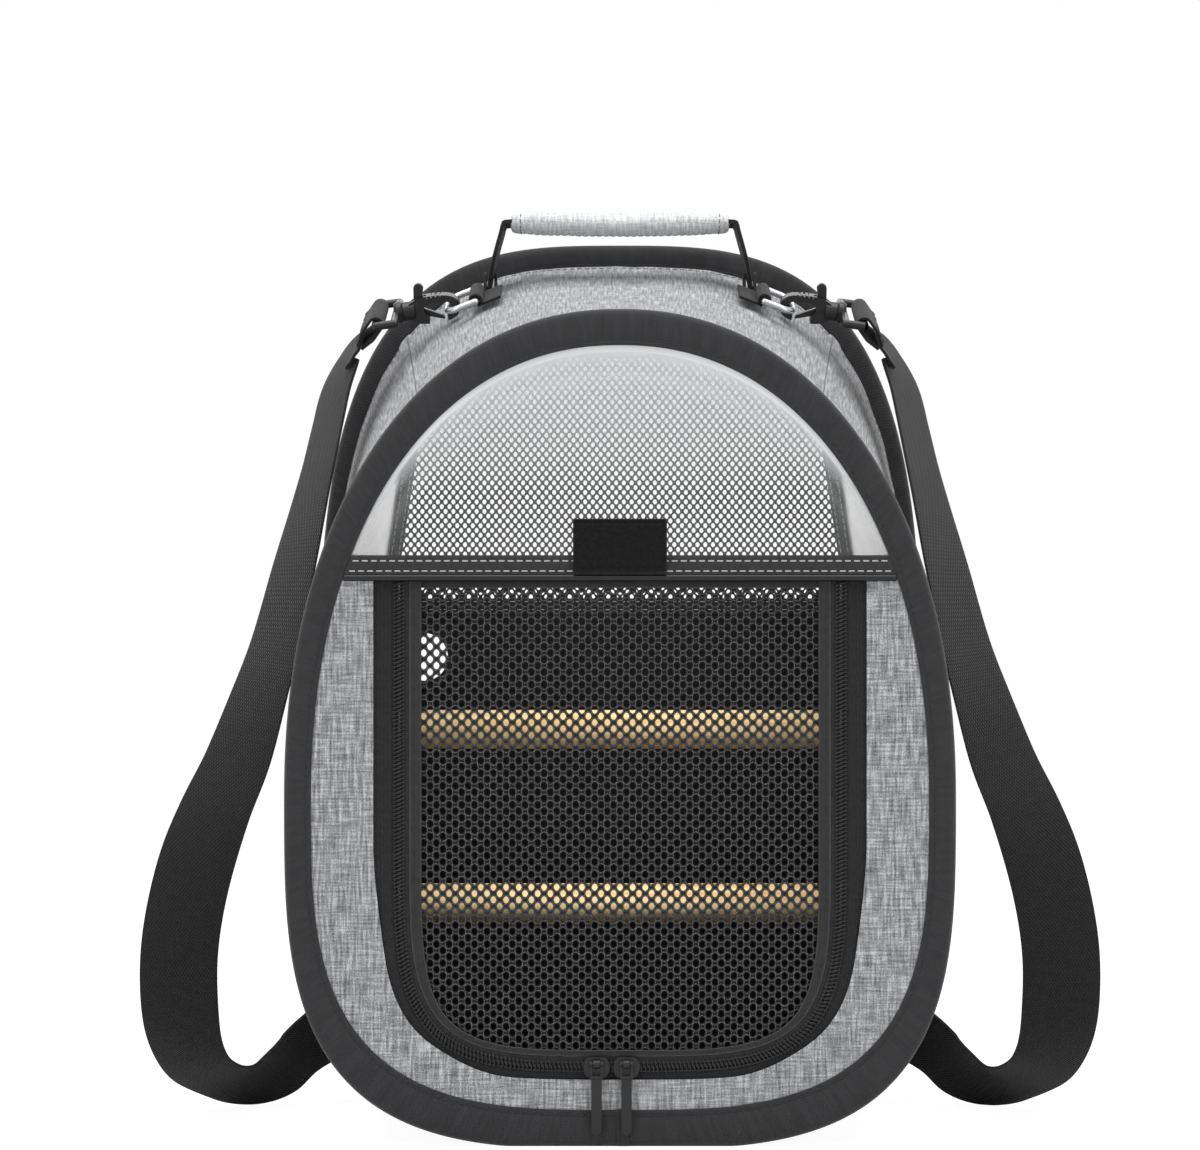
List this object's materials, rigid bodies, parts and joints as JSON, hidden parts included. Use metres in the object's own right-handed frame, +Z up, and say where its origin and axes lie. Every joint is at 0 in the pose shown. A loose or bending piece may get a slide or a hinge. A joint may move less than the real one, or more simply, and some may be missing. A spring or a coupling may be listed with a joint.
{
  "type": "bird travel carrier",
  "caption": "Soft-sided travel carrier on two sprung hoops, with a net door on a coil zip, a clear window, perches, a carry handle and clip-on straps.",
  "frame": {"origin": "centre of the flat feet of the two hoops, on the floor", "axes": "+Z up, +Y to the back, +X to the carrier's right as seen from the front"},
  "size_m": [0.4966, 0.1945, 0.4779],
  "materials": {
    "hoop_wire": "drawn spring wire",
    "binding_tape": "folded woven tape",
    "heather_cloth": "heather grey polyester cloth",
    "base_cloth": "coated base cloth",
    "board": "stiff polypropylene sheet",
    "clear_film": "clear flexible vinyl",
    "band_webbing": "woven band with a gloss edge",
    "hook_and_loop": "brushed loop pile",
    "black_net": "knitted polyester net",
    "lining_pad": "padded black lining",
    "moulded_black": "moulded acetal, satin",
    "zip_tape": "woven zip tape",
    "zip_coil": "nylon coil",
    "perch_wood": "sanded beech dowel",
    "plated_steel": "nickel plated",
    "strap_webbing": "ribbed polyester webbing",
    "door_tape": "folded binding and zip tape",
    "zip_slider": "black lacquered die casting",
    "zip_pull": "moulded rubber on a steel link",
    "sleeve_cloth": "padded heather cloth"
  },
  "bodies": {
    "root": {"front_hoop_wire": "hoop_wire", "back_hoop_wire": "hoop_wire", "front_binding": "binding_tape", "back_binding": "binding_tape", "gusset_top": "heather_cloth", "gusset_left": "heather_cloth", "gusset_right": "heather_cloth", "base_panel": "base_cloth", "base_board": "board", "front_panel": "heather_cloth", "window_pane": "clear_film", "cross_band": "band_webbing", "closure_tab": "hook_and_loop", "back_panel": "heather_cloth", "back_net": "black_net", "back_window_binding": "binding_tape", "back_lining": "lining_pad", "port_eyelet": "moulded_black", "zip_tape": "zip_tape", "zip_teeth_outer": "zip_coil", "perch_upper": "perch_wood", "perch_lower": "perch_wood", "perch_washers": "plated_steel", "perch_screws": "plated_steel", "handle_feet": "strap_webbing", "ring_tabs": "strap_webbing", "strap_patches": "strap_webbing", "strap_left": "strap_webbing", "strap_right": "strap_webbing"},
    "door": {"door_net": "black_net", "door_binding": "door_tape", "zip_teeth_inner": "zip_coil"},
    "slider_left": {"slider_left": "zip_slider"},
    "slider_right": {"slider_right": "zip_slider"},
    "pull_left": {"pull_left": "zip_pull"},
    "pull_right": {"pull_right": "zip_pull"},
    "handle": {"handle_webbing": "strap_webbing", "handle_sleeve": "sleeve_cloth"},
    "ring_left": {"d_ring_left": "plated_steel", "swivel_eye_left": "moulded_black", "strap_loop_left": "strap_webbing"},
    "hook_left": {"snap_hook_left": "moulded_black"},
    "lever_left": {"hook_lever_left": "moulded_black"},
    "ring_right": {"d_ring_right": "plated_steel", "swivel_eye_right": "moulded_black", "strap_loop_right": "strap_webbing"},
    "hook_right": {"snap_hook_right": "moulded_black"},
    "lever_right": {"hook_lever_right": "moulded_black"}
  },
  "joints": [
    {"name": "door_hinge", "type": "hinge", "parent": "root", "child": "door", "pos_m": [0, -0.095, 0.2777], "axis": [-1, 0, 0], "range_deg": [0, 150]},
    {"name": "slider_left_travel", "type": "slide", "parent": "door", "child": "slider_left", "axis": [-1, 0, 0], "range_m": [0, 0.024]},
    {"name": "slider_right_travel", "type": "slide", "parent": "door", "child": "slider_right", "axis": [1, 0, 0], "range_m": [0, 0.03]},
    {"name": "pull_left_swing", "type": "hinge", "parent": "slider_left", "child": "pull_left", "pos_m": [-0.0115, -0.0969, 0.0408], "axis": [-1, 0, 0], "range_deg": [0, 150]},
    {"name": "pull_right_swing", "type": "hinge", "parent": "slider_right", "child": "pull_right", "pos_m": [0.0032, -0.0969, 0.0408], "axis": [-1, 0, 0], "range_deg": [0, 150]},
    {"name": "handle_swing", "type": "hinge", "parent": "root", "child": "handle", "pos_m": [0, 0.055, 0.44024], "axis": [1, 0, 0], "range_deg": [-38, 50]},
    {"name": "ring_left_lift", "type": "hinge", "parent": "root", "child": "ring_left", "pos_m": [-0.076, 0.034, 0.43103], "axis": [0, 0.9393, 0.3431], "range_deg": [0, 35], "deforming": ["strap_left"]},
    {"name": "hook_left_swivel", "type": "hinge", "parent": "ring_left", "child": "hook_left", "pos_m": [-0.11262, 0.03711, 0.42252], "axis": [-0.9903, 0.0477, -0.1307], "range_deg": [-12, 12]},
    {"name": "hook_left_lever", "type": "hinge", "parent": "hook_left", "child": "lever_left", "pos_m": [-0.10618, 0.0368, 0.42337], "axis": [0, -0.9393, -0.3431], "range_deg": [0, 14], "stiffness_Nm_per_rad": 0.02},
    {"name": "ring_right_lift", "type": "hinge", "parent": "root", "child": "ring_right", "pos_m": [0.076, 0.034, 0.43103], "axis": [0, -0.9393, -0.3431], "range_deg": [0, 35], "deforming": ["strap_right"]},
    {"name": "hook_right_swivel", "type": "hinge", "parent": "ring_right", "child": "hook_right", "pos_m": [0.11262, 0.03711, 0.42252], "axis": [0.9903, 0.0477, -0.1307], "range_deg": [-12, 12]},
    {"name": "hook_right_lever", "type": "hinge", "parent": "hook_right", "child": "lever_right", "pos_m": [0.10618, 0.0368, 0.42337], "axis": [0, 0.9393, 0.3431], "range_deg": [0, 14], "stiffness_Nm_per_rad": 0.02}
  ]
}
